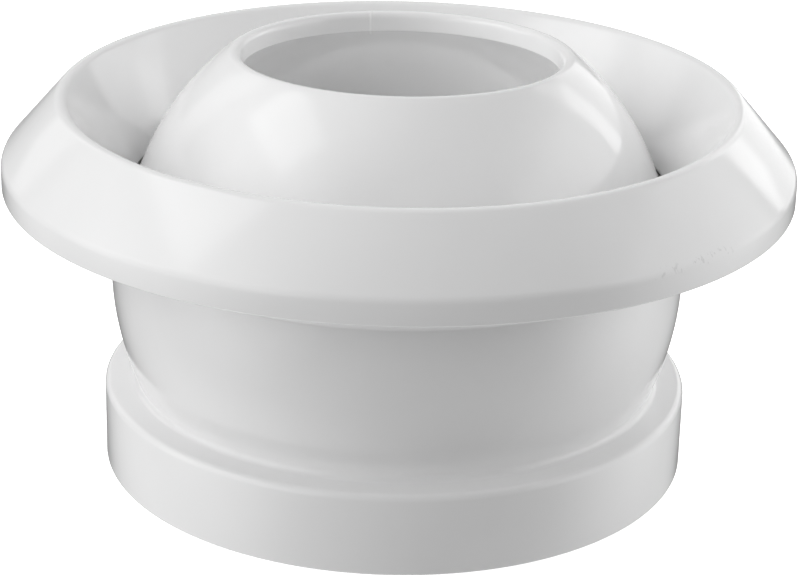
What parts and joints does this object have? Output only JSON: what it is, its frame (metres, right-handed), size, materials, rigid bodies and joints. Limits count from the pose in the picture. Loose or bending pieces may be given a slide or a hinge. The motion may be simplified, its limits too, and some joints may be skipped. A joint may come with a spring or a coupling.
{
  "type": "ball spout air vent",
  "caption": "Round white air vent: a hollow ball nozzle swivels and tilts in a flared face ring and a bowl-shaped socket with a duct collar.",
  "frame": {"origin": "centre of the duct collar's end face, on the surface the vent stands on", "axes": "+Z along the socket's axis, out of the face; the tilt axis is X; at rest the nozzle leans 2 degrees towards +Y"},
  "size_m": [0.1302, 0.1302, 0.0705],
  "materials": {
    "white_abs": "glossy moulded ABS",
    "white_abs_ball": "glossy moulded ABS",
    "grey_felt": "pressed felt",
    "black_foam": "closed-cell foam",
    "zinc_steel": "bright zinc plate"
  },
  "bodies": {
    "vent_body": {"face_ring": "white_abs", "socket_housing": "white_abs", "wall_gasket": "black_foam", "screw_1": "zinc_steel", "screw_2": "zinc_steel", "screw_3": "zinc_steel", "screw_4": "zinc_steel", "screw_5": "zinc_steel", "screw_6": "zinc_steel"},
    "seal_carrier": {"felt_seal_ring": "grey_felt"},
    "ball": {"ball_front_shell": "white_abs_ball", "ball_rear_ring": "white_abs_ball"}
  },
  "joints": [
    {"name": "swivel", "type": "hinge", "parent": "vent_body", "child": "seal_carrier", "pos_m": [0, 0, 0.03345], "axis": [0, 0, 1], "continuous": true},
    {"name": "tilt", "type": "hinge", "parent": "seal_carrier", "child": "ball", "pos_m": [0, 0, 0.03345], "axis": [1, 0, 0], "range_deg": [-23, 27]}
  ]
}
